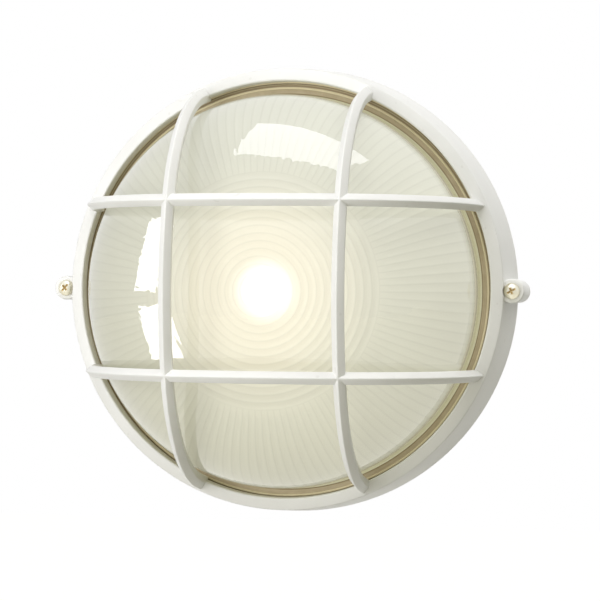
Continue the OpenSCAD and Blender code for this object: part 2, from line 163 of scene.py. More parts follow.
# Colours; where there are two, a factor leads from the first to the second
ENAMEL = ((0.80, 0.80, 0.786), (0.835, 0.835, 0.825))
ENAMEL_SPECK = (0.45, 0.44, 0.40)
GLASS_TINT = (0.985, 0.99, 0.975, 1)
SHADOW_TINT = (0.93, 0.935, 0.90, 1)
# FROST_PAINTED_SHADE_TO_LIGHT runs from the bottom to the top of the dome: painted shade low,
# painted light high
FROST_PAINTED_SHADE_TO_LIGHT = ((0.33, 0.32, 0.25), (0.35, 0.35, 0.30))
# Painted shade: a darker, more olive body towards the foot of the dome
FOOT_PAINTED_SHADE = (0.27, 0.25, 0.16)
# Painted shade in the valleys between the ribs and the rings
VALLEY_PAINTED_SHADE = (0.22, 0.21, 0.15)
# Colours of the painted glow on the ribbed glass, which is no lamp
GLOW = ((1.0, 0.975, 0.77), (1.0, 0.995, 0.90))
HALO_TINT = (1.0, 0.89, 0.70)
CORE_TINT = (1.0, 1.0, 0.97)
FOOT_TINT = (1.0, 0.95, 0.62)
GLASS_EDGE = ((0.50, 0.50, 0.36), (0.60, 0.60, 0.46))
# Colour of a faint painted glow on the glass flange
GLASS_EDGE_PAINTED_GLOW = (1.0, 0.94, 0.66, 1)
RUBBER = ((0.45, 0.37, 0.25), (0.56, 0.475, 0.34))
# Painted shade in the rubber's grooves
RUBBER_GROOVE_SHADE = (0.24, 0.18, 0.10)
# Painted highlight on the raised tops of the rubber's beads and land
RUBBER_CREST_HIGHLIGHT = (0.86, 0.78, 0.56)
LAMP_FROST = ((0.86, 0.84, 0.78), (0.9, 0.88, 0.84))
LAMP_GLOW = (1.0, 0.9, 0.72, 1)
LAMP_CAP = ((0.62, 0.45, 0.2), (0.78, 0.6, 0.32))
FLOOR = (0.42, 0.41, 0.36, 1)
WHITE = (1, 1, 1, 1)

# Painted glow of the lamp's light on the ribbed glass: strengths, and the spots of light
# as place beside the axis, radius where they begin and radius where they are full, in millimetres
GLOW_EVEN = 0.342
GLOW_HALO = 0.29
GLOW_CORE = 0.45
GLOW_UP = 0.0002
GLOW_RIGHT = 0.0010
LINE_DIM = 0.075
FOOT_DIM = 0.2
HALO = (-1.0, 76, 20)
CORE = (3.5, 20, 6)
GLOW_BOTTOM, GLOW_TOP = -100, 95
FOOT_GLOW_DEPTH = 44

# Depths between which the mirror coat of the glass fades in, towards the crown
COAT_FROM, COAT_TO = 56, 80

# Height of the lamp's cap, in metres
LAMP_CAP_H = 0.026

# Studio: strengths, and colours of the lamps
EVEN_LIGHT = 0.25
EVEN_TINT = (1.0, 0.975, 0.72, 1)
FLOOR_GLOW = 0.93
FLOOR_HALF = 6.0
FLOOR_Z = -0.75
OVERHEAD = 2.7
WINDOW = 6.2
PLAIN = (1.0, 1.0, 1.0)
COOL = (1.0, 1.0, 1.11)
WARM = (1.0, 0.98, 0.80)
WARMER_WHITE = (1.0, 0.998, 0.98)

# The soft box above: centre, azimuth, elevation, roll, width, height (metres and degrees)
OVERHEAD_BOX = ((-0.008, -0.917, 1.08), 0, 90, -17, 0.92, 1.06)

# The windows lie in one plane, 1 m from WINDOW_ORIGIN: name, right, up, roll, width, height
WINDOW_AZIMUTH = -44
WINDOW_ORIGIN = Vector((-0.058, -0.092, 0.005))
WINDOWS = (
    ("window_upper", -0.022, 0.174, -8, 0.14, 0.365),
    ("window_lower", 0.028, -0.226, 10, 0.19, 0.31),
)

# Fills that no mirror shows: name, azimuth, elevation, distance, size, radiance, colour
FILLS = (
    ("left_front", -30, 0, 1.3, 1.0, 2.5, WARMER_WHITE),
    ("upper_right", 110, 38, 1.2, 1.0, 0.65, PLAIN),
    ("high_right", 100, 62, 1.2, 1.0, 2.05, PLAIN),
    ("front", 12, 25, 1.5, 1.0, 0.65, WARM),
    ("front_low", 5, -20, 1.5, 1.0, 0.4, WARM),
    ("back", 180, 8, 1.5, 1.2, 1.3, PLAIN),
)


# Mesh helpers

def place(x, y, depth):
    """Point in the front view (x right, y up, depth from the wall, in mm) to the row frame."""
    return Vector((x * MM, -depth * MM, y * MM))


def facing(x, y, depth):
    """Matrix that puts local z out from the wall at a point of the front view."""
    return Matrix.Translation(place(x, y, depth)) @ Matrix.Rotation(math.pi / 2, 4, "X")


def shade(obj, angle):
    """Smooth shading, with an edge kept sharp where its faces meet at more than the angle."""
    obj.data.shade_smooth()
    obj.data.set_sharp_from_angle(angle=math.radians(angle))


def new_object(name, verts, faces, smooth_angle=35.0, slots=None):
    """Object with normals pointing out; slots gives each face its material slot."""
    mesh = bpy.data.meshes.new(name)
    mesh.from_pydata([tuple(v) for v in verts], [], faces)
    mesh.validate()
    obj = bpy.data.objects.new(name, mesh)
    scene.collection.objects.link(obj)
    if slots:
        mesh.polygons.foreach_set("material_index", slots)
    bm = bmesh.new()
    bm.from_mesh(mesh)
    bmesh.ops.recalc_face_normals(bm, faces=bm.faces)
    bm.to_mesh(mesh)
    bm.free()
    shade(obj, smooth_angle)
    return obj


def corner_arc(a, b, c, r, n=4):
    """Arc of radius r in n steps that rounds corner b of the path a-b-c."""
    a, b, c = Vector(a), Vector(b), Vector(c)
    u, w = (a - b).normalized(), (c - b).normalized()
    half = u.angle(w) / 2
    centre = b + (u + w).normalized() * r / math.sin(half)
    start, end = b + u * r / math.tan(half) - centre, b + w * r / math.tan(half) - centre
    turn = math.atan2(start.x * end.y - start.y * end.x, start.dot(end))
    return [centre + Matrix.Rotation(turn * i / n, 2) @ start for i in range(n + 1)]


def rounded(path, radii, n):
    """Closed outline with each corner rounded by its own radius; 0 leaves it sharp."""
    out = []
    for i, r in enumerate(radii):
        if r:
            out += corner_arc(path[i - 1], path[i], path[(i + 1) % len(path)], r, n)
        else:
            out.append(Vector(path[i]))
    return out


def revolve(name, outline, centre=(0.0, 0.0), smooth_angle=35.0):
    """Turns a closed outline of (radius, depth) points around an axis out from the wall."""
    n = len(outline)
    verts, faces = [], []
    for i in range(TURN_STEPS):
        a = 2 * math.pi * i / TURN_STEPS
        for r, z in outline:
            verts.append(place(centre[0] + r * math.cos(a), centre[1] + r * math.sin(a), z))
    for i in range(TURN_STEPS):
        j = (i + 1) % TURN_STEPS
        for k in range(n):
            m = (k + 1) % n
            faces.append((i * n + k, i * n + m, j * n + m, j * n + k))
    return new_object(name, verts, faces, smooth_angle)


def turned(name, outline, steps, to_world):
    """Turns an open outline of (radius, height) points, from axis to axis; to_world places it."""
    verts, faces = [], []
    for r, h in outline[1:-1]:
        for i in range(steps):
            a = 2 * math.pi * i / steps
            verts.append(to_world @ Vector((r * math.cos(a) * MM, r * math.sin(a) * MM, h * MM)))
    first, last = len(verts), len(verts) + 1
    verts.append(to_world @ Vector((0, 0, outline[0][1] * MM)))
    verts.append(to_world @ Vector((0, 0, outline[-1][1] * MM)))
    rows = len(outline) - 2
    for i in range(steps):
        j = (i + 1) % steps
        faces.append((first, i, j))
        for k in range(rows - 1):
            faces.append((k * steps + i, (k + 1) * steps + i, (k + 1) * steps + j, k * steps + j))
        base = (rows - 1) * steps
        faces.append((last, base + j, base + i))
    return new_object(name, verts, faces)


def cylinder(name, r, low, high, steps, x, depth):
    """Plain cylinder out from the wall at x, between two heights over the given depth."""
    return turned(name, [(0, low), (r, low), (r, high), (0, high)], steps, facing(x, 0, depth))


def join(target, others, operation="UNION"):
    """Boolean of target with each other solid; the others are removed."""
    for other in others:
        mod = target.modifiers.new("solid", "BOOLEAN")
        mod.operation = operation
        mod.solver = "EXACT"
        mod.object = other
        graph = bpy.context.evaluated_depsgraph_get()
        mesh = bpy.data.meshes.new_from_object(target.evaluated_get(graph))
        target.modifiers.clear()
        target.data = mesh
        bpy.data.objects.remove(other)


def weld(obj):
    """Merges points that the booleans left on top of each other, and fills slivers between."""
    bm = bmesh.new()
    bm.from_mesh(obj.data)
    bmesh.ops.remove_doubles(bm, verts=bm.verts, dist=WELD * MM)
    bmesh.ops.holes_fill(bm, edges=[e for e in bm.edges if e.is_boundary], sides=8)
    bm.to_mesh(obj.data)
    bm.free()


def dress(obj, mats):
    for mat in mats:
        obj.data.materials.append(mat)


# Guard

def bar_line():
    """Ridge line of a bar: (along, depth, angle of its outward normal)."""
    crown_c = PROJ - CROWN_R
    foot_u = math.sqrt((CREASE_R - GUARD_EDGE) ** 2 - BAR_OFF ** 2)
    off = CROWN_R - KNEE_R
    knee_a = math.asin((foot_u * math.cos(LEG_LEAN) + CREASE_DEPTH * math.sin(LEG_LEAN) - KNEE_R
                        - crown_c * math.sin(LEG_LEAN)) / off) - LEG_LEAN
    ku, kv = off * math.sin(knee_a), crown_c + off * math.cos(knee_a)
    leg = (kv + KNEE_R * math.sin(LEG_LEAN) - CREASE_DEPTH + LEG_ROOT) / math.cos(LEG_LEAN)
    end = math.pi / 2 - knee_a
    half = [(ku + KNEE_R * math.cos(LEG_LEAN) + leg * t * math.sin(LEG_LEAN),
             kv + KNEE_R * math.sin(LEG_LEAN) - leg * t * math.cos(LEG_LEAN), LEG_LEAN)
            for t in LEG_STATIONS]
    for i in range(KNEE_STEPS + 1):
        a = LEG_LEAN + (end - LEG_LEAN) * i / KNEE_STEPS
        half.append((ku + KNEE_R * math.cos(a), kv + KNEE_R * math.sin(a), a))
    crown = []
    for i in range(1, CROWN_STEPS):
        a = end + 2 * knee_a * i / CROWN_STEPS
        crown.append((CROWN_R * math.cos(a), crown_c + CROWN_R * math.sin(a), a))
    return half + crown + [(-u, v, math.pi - a) for u, v, a in reversed(half)]


def bar(offset, upright):
    """One arched bar: a roof-shaped section with rounded edges, lofted along its ridge line."""
    e = BAR_W / 2
    section = rounded([(0, 0), (ROOF_H, e), (BAR_T, e - BAR_DRAFT), (BAR_T, BAR_DRAFT - e),
                       (ROOF_H, -e)], BAR_ROUNDS, 3)
    line = bar_line()
    verts = []
    for u, v, a in line:
        for down, across in section:
            along, depth = u - down * math.cos(a), v - down * math.sin(a)
            verts.append(place(offset + across, along, depth) if upright
                         else place(along, offset + across, depth))
    n, m = len(section), len(line)
    faces = [tuple(range(n)), tuple((m - 1) * n + k for k in range(n))]
    for i in range(m - 1):
        for k in range(n):
            j = (k + 1) % n
            faces.append((i * n + k, i * n + j, (i + 1) * n + j, (i + 1) * n + k))
    return new_object("bar", verts, faces)


def make_guard():
    """Ring with its lip, the four crossing bars, and an ear with a screw seat on each side."""
    outline = rounded(
        [(BASE_R - SIDE_DRAFT * BASE_DEPTH, BASE_DEPTH), (CREASE_R, CREASE_DEPTH),
         (OPEN_R, LIP_DEPTH), (OPEN_R, LIP_BACK), (POCKET_R, LIP_BACK), (POCKET_R, BASE_DEPTH)],
        [0, CREASE_ROUND, MOUTH_ROUND, LIP_ROUND, 0, 0], 5)
    guard = revolve("guard_casting", outline)
    join(guard, [bar(side * BAR_OFF, upright) for side in (-1, 1) for upright in (True, False)])
    ear_h = EAR_TOP - BASE_DEPTH
    ear_outline = [(0, 0), (EAR_R, 0)]
    ear_outline += corner_arc((EAR_R, 0), (EAR_R, ear_h), (0, ear_h), EAR_ROUND)
    ear_outline += [(0, ear_h)]
    for side in (-1, 1):
        x = side * EAR_X
        ear = turned("ear", ear_outline, 48, facing(x, 0, BASE_DEPTH + LIFT))
        core = cylinder("core", POCKET_R + 1, low=-1, high=20, steps=192, x=0, depth=BASE_DEPTH)
        join(ear, [core], "DIFFERENCE")
        join(guard, [ear])
        bore = cylinder("bore", SCREW_R + SCREW_PLAY, low=-2, high=20, steps=32, x=x,
                        depth=BASE_DEPTH)
        seat = cylinder("seat", HEAD_R + HEAD_PLAY, low=0, high=9, steps=48, x=x,
                        depth=EAR_TOP + 2 * LIFT)
        join(guard, [bore, seat], "DIFFERENCE")
    weld(guard)
    shade(guard, 30)
    return guard


# Glass

def dome_point(t, s):
    """Point of the dome drawn in by t, and the angle of its outward normal from the axis; s
    runs 0..1 along the crown, 1..2 along the shoulder and 2..3 down the flank to the flange."""
    crown_c = GLASS_CROWN - GLASS_CROWN_R
    c = GLASS_R - SHOULDER_R
    shoulder_c = crown_c + math.sqrt((GLASS_CROWN_R - SHOULDER_R) ** 2 - c ** 2)
    tangent = math.asin(c / (GLASS_CROWN_R - SHOULDER_R))
    if s <= 1:
        a = tangent * s
        r = GLASS_CROWN_R - t
        return r * math.sin(a), crown_c + r * math.cos(a), a
    if s <= 2:
        a = tangent + (math.pi / 2 - tangent) * (s - 1)
        r = SHOULDER_R - t
        return c + r * math.sin(a), shoulder_c + r * math.cos(a), a
    return GLASS_R - t, shoulder_c + (FLANGE_TOP - shoulder_c) * (s - 2), math.pi / 2


def make_glass():
    """Pressed dome: smooth outside, ring-shaped and radial scalloped ribs inside."""
    verts, faces, slots = [], [], []

    def row(count, at):
        """Points around the axis; at gives the radius and the depth of each."""
        start = len(verts)
        for i in range(count):
            a = 2 * math.pi * i / count
            r, z = at(i)
            verts.append(place(r * math.cos(a), r * math.sin(a) - GLASS_DROP, z))
        return start, count

    def strip(a, b, slot):
        """Faces between two rows; one may have a whole multiple of the other's points."""
        (sa, na), (sb, nb) = a, b
        if nb < na:
            return strip(b, a, slot)
        k = nb // na
        for i in range(na):
            i2 = (i + 1) % na
            if k == 1:
                faces.append((sa + i, sb + i, sb + i2, sa + i2))
                slots.append(slot)
                continue
            for j in range(k):
                q, q2 = sb + i * k + j, sb + (i * k + j + 1) % nb
                faces.append((sa + (i if j < k / 2 else i2), q, q2))
                slots.append(slot)
            faces.append((sa + i, sb + i * k + (k + 1) // 2, sa + i2))
            slots.append(slot)

    def strips(rows, slot):
        for a, b in zip(rows, rows[1:]):
            strip(a, b, slot)

    def cap(centre_depth, a, slot):
        """Fan of faces from a point on the axis to a row."""
        start, count = a
        verts.append(place(0, -GLASS_DROP, centre_depth))
        for i in range(count):
            faces.append((len(verts) - 1, start + i, start + (i + 1) % count))
            slots.append(slot)

    # Outer face, fillet at its foot, flange
    stations = ([i / DOME_CROWN_STEPS for i in range(1, DOME_CROWN_STEPS + 1)]
                + [1 + i / DOME_SHOULDER_STEPS for i in range(1, DOME_SHOULDER_STEPS + 1)]
                + [2.3, 2.6])
    profile = [(*dome_point(0, s)[:2], OUTER) for s in stations]
    fillet = corner_arc((GLASS_R, FLANGE_TOP + 9), (GLASS_R, FLANGE_TOP),
                        (GLASS_R + FLANGE_W, FLANGE_TOP), FOOT_R, 5)
    profile += [(p.x, p.y, OUTER) for p in fillet]
    profile += [(GLASS_R + FLANGE_W, FLANGE_TOP, EDGE), (GLASS_R + FLANGE_W, GLASS_FOOT, EDGE),
                (GLASS_R - GLASS_T, GLASS_FOOT, EDGE)]
    rows = [row(RADIAL_RIBS * 3, lambda i: (r, z)) for r, z, _ in profile]
    cap(GLASS_CROWN, rows[0], OUTER)
    for k in range(1, len(rows)):
        strip(rows[k - 1], rows[k], profile[k][2])

    # Inner face with radial ribs, which fade out at the flange and at the rings
    inner = []
    stations = ([3 - 0.22 * i for i in range(4)] + [2.17, 2.08]
                + [2 - i / 30 for i in range(1, 31)] + [1 - i * 0.02 for i in range(1, 6)])
    for s in stations:
        r, z, a = dome_point(GLASS_T, s)
        if r < RING_EDGE + 1:
            continue
        fade = min(1, max(0, (r - RING_EDGE) / 3)) * min(1, max(0, (z - FLANGE_TOP - 1) / 2))

        def rib(i):
            h = RIB_H * fade * math.sin(math.pi * (i % RIB_STEPS) / RIB_STEPS)
            return r - h * math.sin(a), z - h * math.cos(a)
        inner.append(row(RADIAL_RIBS * RIB_STEPS, rib))
    strip(rows[-1], inner[0], INNER)
    strips(inner, INNER)

    # Ring-shaped ribs around the axis
    crown_c = GLASS_CROWN - GLASS_CROWN_R
    rings = []
    for j in range(int((RING_COUNT + 0.5) * RING_STEPS), 0, -1):
        r = j * RING_PITCH / RING_STEPS
        h = RING_H * abs(math.cos(math.pi * r / RING_PITCH))
        z = crown_c + math.sqrt((GLASS_CROWN_R - GLASS_T) ** 2 - r * r) - h
        count = RADIAL_RIBS if j > 2 * RING_STEPS else RADIAL_RIBS // 5
        rings.append(row(count, lambda i: (r, z)))
    strip(inner[-1], rings[0], INNER)
    strips(rings, INNER)
    cap(GLASS_CROWN - GLASS_T - RING_H, rings[-1], INNER)
    return new_object("pressed_glass", verts, faces, 60, slots)


# Rubber and screws

def make_rubber():
    """Channel around the flange; its front lip has two beads and a land outside them."""
    flat = LIP_BACK - BEAD_H
    beads = []
    for r, h in BEADS:
        beads += [(r - h * math.cos(math.pi * i / BEAD_STEPS),
                   flat + h * math.sin(math.pi * i / BEAD_STEPS)) for i in range(BEAD_STEPS + 1)]
    outline = corner_arc((RUBBER_IN_R, POCKET_DEPTH), (RUBBER_IN_R, flat), (LAND_R, flat),
                         RUBBER_ROUND)
    outline += beads + [(LAND_R, flat)]
    outline += corner_arc((LAND_R, flat), (LAND_R, LIP_BACK), (RUBBER_OUT_R, LIP_BACK),
                          LAND_ROUND)
    outline += [(RUBBER_OUT_R, LIP_BACK), (RUBBER_OUT_R, POCKET_DEPTH),
                (RUBBER_IN_R, POCKET_DEPTH), (RUBBER_IN_R, GLASS_FOOT), (LAND_R, GLASS_FOOT),
                (LAND_R, FLANGE_TOP), (RUBBER_IN_R, FLANGE_TOP)]
    return revolve("rubber_channel", outline, (0, -GLASS_DROP), 50)


def make_screw(name, x, turn, mats):
    """Pan-head screw with a cross recess, with painted shade inside, and a rolled thread."""
    root_r = SCREW_R - THREAD_DEPTH
    outline = [(0, -SCREW_L), (1.4, -SCREW_L), (2.0, -SCREW_L + 1.2)]
    z = -SCREW_L + 1.6
    while z < THREAD_END:
        outline += [(SCREW_R, z), (SCREW_R, z + 0.15), (root_r, z + 0.4), (root_r, z + 0.5)]
        z += THREAD_PITCH
    outline += [(SCREW_R, THREAD_END + 1), (SCREW_R, 0), (HEAD_R - HEAD_EDGE, 0),
                (HEAD_R, HEAD_EDGE), (HEAD_R, HEAD_RIM)]
    for i in range(1, HEAD_STEPS + 1):
        a = i / HEAD_STEPS * DOME_ANGLE
        rise = (HEAD_H - HEAD_RIM) * math.sin(a) / math.sin(DOME_ANGLE)
        outline.append((HEAD_R * math.cos(a), HEAD_RIM + rise))
    outline.append((0, HEAD_H))
    to_world = facing(x, 0, EAR_TOP)
    screw = turned(name, outline, 48, to_world)
    dress(screw, mats)
    for more, half_w, half_l in WINGS:
        cut = to_world @ Matrix.Rotation(math.radians(turn + more), 4, "Z")
        pts = []
        for h, longer, wider in ((HEAD_H + 0.5, 1.06, 1.15), (HEAD_H - RECESS_DEPTH, 0.34, 0.8)):
            l, w = half_l * longer * MM, half_w * wider * MM
            pts += [cut @ Vector((sx * l, sy * w, h * MM))
                    for sx, sy in ((-1, -1), (1, -1), (1, 1), (-1, 1))]
        wing = new_object("wing", pts, [(0, 1, 2, 3), (4, 5, 6, 7), (0, 1, 5, 4), (1, 2, 6, 5),
                                        (2, 3, 7, 6), (3, 0, 4, 7)], slots=[1] * 6)
        dress(wing, mats)
        join(screw, [wing], "DIFFERENCE")
    shade(screw, 30)
    return screw


# Material helpers

def material(name):
    mat = bpy.data.materials.new(name)
    mat.use_nodes = True
    mat.node_tree.nodes.clear()
    return mat, mat.node_tree


def add(tree, kind, inputs=None, **settings):
    """Node with its settings; an input is a socket to link or a value to set."""
    node = tree.nodes.new(kind)
    for key, value in settings.items():
        setattr(node, key, value)
    for key, value in (inputs or {}).items():
        if isinstance(value, bpy.types.NodeSocket):
            tree.links.new(value, node.inputs[key])
        else:
            node.inputs[key].default_value = value
    return node


def maths(tree, operation, *values):
    return add(tree, "ShaderNodeMath", dict(enumerate(values)), operation=operation).outputs[0]


def length(tree, a, b):
    squares = [maths(tree, "MULTIPLY", v, v) for v in (a, b)]
    return maths(tree, "SQRT", maths(tree, "ADD", *squares))


def ramp(tree, value, low, high, out_low=0.0, out_high=1.0, smooth=True):
    return add(tree, "ShaderNodeMapRange", {"Value": value, "From Min": low, "From Max": high,
                                            "To Min": out_low, "To Max": out_high},
               interpolation_type="SMOOTHSTEP" if smooth else "LINEAR").outputs["Result"]


def blend(tree, factor, a, b):
    """Colour that goes from a to b, each a socket or three numbers, as factor goes 0 to 1."""
    node = add(tree, "ShaderNodeMix", data_type="RGBA")
    for socket, value in zip((0, 6, 7), (factor, a, b)):
        if isinstance(value, bpy.types.NodeSocket):
            tree.links.new(value, node.inputs[socket])
        else:
            node.inputs[socket].default_value = value if socket == 0 else (*value, 1)
    return node.outputs[2]


def noise(tree, coords, scale, detail=2.0, roughness=0.5):
    return add(tree, "ShaderNodeTexNoise", {"Vector": coords, "Scale": scale, "Detail": detail,
                                            "Roughness": roughness}).outputs["Fac"]


def bump(tree, height, distance, strength):
    return add(tree, "ShaderNodeBump", {"Height": height, "Distance": distance,
                                        "Strength": strength}).outputs[0]


def object_coords(tree):
    return add(tree, "ShaderNodeTexCoord").outputs["Object"]


def radial_coords(tree):
    """Place beside and above the glass's axis, distance from it and depth, all in mm, and the
    angle around the axis in turns, as x, z, r, turn, depth."""
    sep = add(tree, "ShaderNodeSeparateXYZ", {0: object_coords(tree)})
    x = maths(tree, "MULTIPLY", sep.outputs[0], 1000.0)
    z = maths(tree, "MULTIPLY_ADD", sep.outputs[2], 1000.0, GLASS_DROP)
    depth = maths(tree, "MULTIPLY", sep.outputs[1], -1000.0)
    turn = maths(tree, "DIVIDE", maths(tree, "ARCTAN2", z, x), 2 * math.pi)
    return x, z, length(tree, x, z), turn, depth


def principled(tree, inputs):
    return add(tree, "ShaderNodeBsdfPrincipled", inputs).outputs[0]


def mix_shader(tree, factor, a, b):
    return add(tree, "ShaderNodeMixShader", {0: factor, 1: a, 2: b}).outputs[0]


def output(tree, shader):
    add(tree, "ShaderNodeOutputMaterial", {"Surface": shader})


def seen_rays(tree):
    """1 for camera, mirror and glass rays, 0 for the others."""
    path = add(tree, "ShaderNodeLightPath")
    return maths(tree, "MAXIMUM", path.outputs["Is Camera Ray"],
                 maths(tree, "MAXIMUM", path.outputs["Is Glossy Ray"],
                       path.outputs["Is Transmission Ray"]))


# Materials

def paint_material():
    """White enamel over a sand-casting: faint orange peel, a few specks, slight unevenness."""
    mat, tree = material("white_enamel")
    co = object_coords(tree)
    broad = noise(tree, co, scale=38, detail=3)
    peel = noise(tree, co, scale=520)
    grain = noise(tree, co, scale=1900)
    colour = blend(tree, ramp(tree, broad, 0.3, 0.7), *ENAMEL)
    specks = ramp(tree, noise(tree, co, scale=240, detail=0), 0.80, 0.83)
    colour = blend(tree, maths(tree, "MULTIPLY", specks, 0.15), colour, ENAMEL_SPECK)
    height = maths(tree, "MULTIPLY_ADD", grain, 0.35, peel)
    output(tree, principled(tree, {
        "Base Color": colour, "Roughness": ramp(tree, broad, 0.2, 0.8, 0.34, 0.46),
        "Specular IOR Level": 0.45,
        "Normal": bump(tree, height, distance=0.00012, strength=0.5)}))
    return mat


def glass_outer_material():
    """Clear glass: shows the ribbed face bent behind it, and lets the lamps' light through."""
    mat, tree = material("glass_face")
    _, _, r, turn, depth = radial_coords(tree)
    ribs = maths(tree, "SINE", maths(tree, "MULTIPLY", turn, 2 * math.pi * RADIAL_RIBS))
    ribs = maths(tree, "MULTIPLY", ribs, ramp(tree, r, RING_EDGE - 2, RING_EDGE + 8))
    rings = maths(tree, "SINE", maths(tree, "MULTIPLY", r, 2 * math.pi / RING_PITCH))
    rings = maths(tree, "MULTIPLY", rings, ramp(tree, r, RING_EDGE + 2, RING_EDGE - 4))
    ripple = maths(tree, "MULTIPLY_ADD", noise(tree, object_coords(tree), scale=330, detail=1),
                   4.0, maths(tree, "ADD", ribs, rings))
    wavy = bump(tree, ripple, distance=0.000007, strength=0.6)
    path = add(tree, "ShaderNodeLightPath")
    passing = maths(tree, "MAXIMUM", path.outputs["Is Shadow Ray"],
                    path.outputs["Is Diffuse Ray"])
    glass = principled(tree, {
        "Base Color": GLASS_TINT, "Roughness": 0.0, "IOR": 1.5, "Transmission Weight": 1.0,
        "Coat Weight": ramp(tree, depth, COAT_FROM, COAT_TO), "Coat Roughness": 0.0,
        "Normal": wavy, "Coat Normal": wavy})
    clear = add(tree, "ShaderNodeBsdfTransparent", {"Color": SHADOW_TINT}).outputs[0]
    output(tree, mix_shader(tree, passing, glass, clear))
    return mat


def glass_inner_material():
    """Frosted, ribbed inner face, with a painted glow where the lamp behind it shines through."""
    mat, tree = material("glass_ribs")
    x, z, r, turn, depth = radial_coords(tree)
    rib_phase = maths(tree, "FRACT", maths(tree, "MULTIPLY", turn, float(RADIAL_RIBS)))
    ring_phase = maths(tree, "FRACT", maths(tree, "MULTIPLY_ADD", r, 1 / RING_PITCH, 0.5))
    in_rings = ramp(tree, r, RING_EDGE + 0.6, RING_EDGE - 0.4)

    def painted_valley(phase):
        """Painted shade: a dark line where one rib meets the next."""
        edge = maths(tree, "ABSOLUTE", maths(tree, "SUBTRACT", phase, 0.5))
        return ramp(tree, edge, 0.33, 0.5)

    def spot(centre, outer, full):
        """Round spot of light, centred beside the axis."""
        dx = maths(tree, "SUBTRACT", x, centre)
        return ramp(tree, length(tree, dx, z), outer, full)

    # Painted shade in the valleys of the ribs and rings; it also dims the painted glow there
    valley_shade = maths(tree, "ADD", maths(tree, "MULTIPLY", painted_valley(ring_phase), in_rings),
                  maths(tree, "MULTIPLY", painted_valley(rib_phase),
                        maths(tree, "SUBTRACT", 1.0, in_rings)))
    # Painted shade towards the foot: a darker, more olive body and a dimmer, yellower glow
    foot_shade = ramp(tree, depth, FOOT_GLOW_DEPTH, FLANGE_TOP)
    # Painted light and shade: the body and the glow grow lighter towards the top of the dome
    painted_light_upward = ramp(tree, z, GLOW_BOTTOM, GLOW_TOP, smooth=False)
    body = blend(tree, painted_light_upward, *FROST_PAINTED_SHADE_TO_LIGHT)
    body = blend(tree, foot_shade, body, FOOT_PAINTED_SHADE)
    body = blend(tree, maths(tree, "MULTIPLY", valley_shade, 0.12), body, VALLEY_PAINTED_SHADE)

    # Painted glow: a warm halo and a white core where the lamp shines through, stronger up and
    # right
    halo, core = spot(*HALO), spot(*CORE)
    glow = blend(tree, painted_light_upward, *GLOW)
    glow = blend(tree, maths(tree, "MULTIPLY", halo, 0.75), glow, HALO_TINT)
    glow = blend(tree, core, glow, CORE_TINT)
    glow = blend(tree, foot_shade, glow, FOOT_TINT)
    strength = maths(tree, "MULTIPLY_ADD", halo, GLOW_HALO, GLOW_EVEN)
    for value, weight in ((z, GLOW_UP), (x, GLOW_RIGHT), (core, GLOW_CORE)):
        strength = maths(tree, "MULTIPLY_ADD", value, weight, strength)
    for value, dim in ((valley_shade, LINE_DIM), (foot_shade, FOOT_DIM)):
        strength = maths(tree, "MULTIPLY", strength,
                         maths(tree, "MULTIPLY_ADD", value, -dim, 1.0))
    output(tree, principled(tree, {
        "Base Color": body, "Roughness": 0.45, "Specular IOR Level": 0.2,
        "Emission Color": glow, "Emission Strength": strength}))
    return mat


def glass_edge_material():
    """Flange of the glass, yellowish, with a faint painted glow as if lit from within."""
    mat, tree = material("glass_edge")
    colour = blend(tree, noise(tree, object_coords(tree), scale=60), *GLASS_EDGE)
    output(tree, principled(tree, {
        "Base Color": colour, "Roughness": 0.1, "Coat Weight": 0.5,
        "Emission Color": GLASS_EDGE_PAINTED_GLOW, "Emission Strength": 0.22}))
    return mat


def rubber_material():
    """Tan rubber: matt, mottled and streaked around the ring, with painted shade in the grooves
    and a painted highlight on the beads.
    """
    mat, tree = material("tan_rubber")
    _, _, r, turn, depth = radial_coords(tree)
    co = object_coords(tree)
    mottle = noise(tree, co, scale=170, detail=4, roughness=0.6)
    around = add(tree, "ShaderNodeCombineXYZ", {
        0: maths(tree, "MULTIPLY", r, 2.2), 1: maths(tree, "MULTIPLY", turn, 14.0)}).outputs[0]
    streak = noise(tree, around, scale=1.0, detail=3, roughness=0.6)
    tone = maths(tree, "MULTIPLY_ADD", streak, 0.6, maths(tree, "MULTIPLY", mottle, 0.4))
    colour = blend(tree, ramp(tree, tone, 0.35, 0.65), *RUBBER)
    # Painted shade: darker at the rubber's inner edge and in the groove between the beads
    groove_shade = maths(tree, "MAXIMUM", ramp(tree, r, GLASS_R + 2.1, GLASS_R + 1.6),
                   ramp(tree, r, GLASS_R + 5.3, GLASS_R + 5.6))
    colour = blend(tree, maths(tree, "MULTIPLY", groove_shade, 0.7), colour, RUBBER_GROOVE_SHADE)
    # Painted highlight on the raised tops of the beads and the land
    crest_highlight = ramp(tree, depth, LIP_BACK - 0.55, LIP_BACK - 0.15)
    colour = blend(tree, maths(tree, "MULTIPLY", crest_highlight, 0.75), colour, RUBBER_CREST_HIGHLIGHT)
    pores = noise(tree, co, scale=900, detail=3)
    output(tree, principled(tree, {
        "Base Color": colour, "Roughness": 0.5, "Specular IOR Level": 0.35,
        "Normal": bump(tree, pores, distance=0.00015, strength=0.4)}))
    return mat


def metal_material(name, light, dark, rough, scale=140, metallic=1.0):
    """Plated or bare metal with cloudy tone and fine scratches."""
    mat, tree = material(name)
    co = object_coords(tree)
    cloud = noise(tree, co, scale, detail=4, roughness=0.6)
    fine = noise(tree, co, scale * 9)
    output(tree, principled(tree, {
        "Base Color": blend(tree, ramp(tree, cloud, 0.3, 0.7), dark, light),
        "Metallic": metallic,
        "Roughness": ramp(tree, fine, 0.3, 0.7, rough * 0.8, rough * 1.25),
        "Normal": bump(tree, fine, distance=0.00006, strength=0.35)}))
    return mat


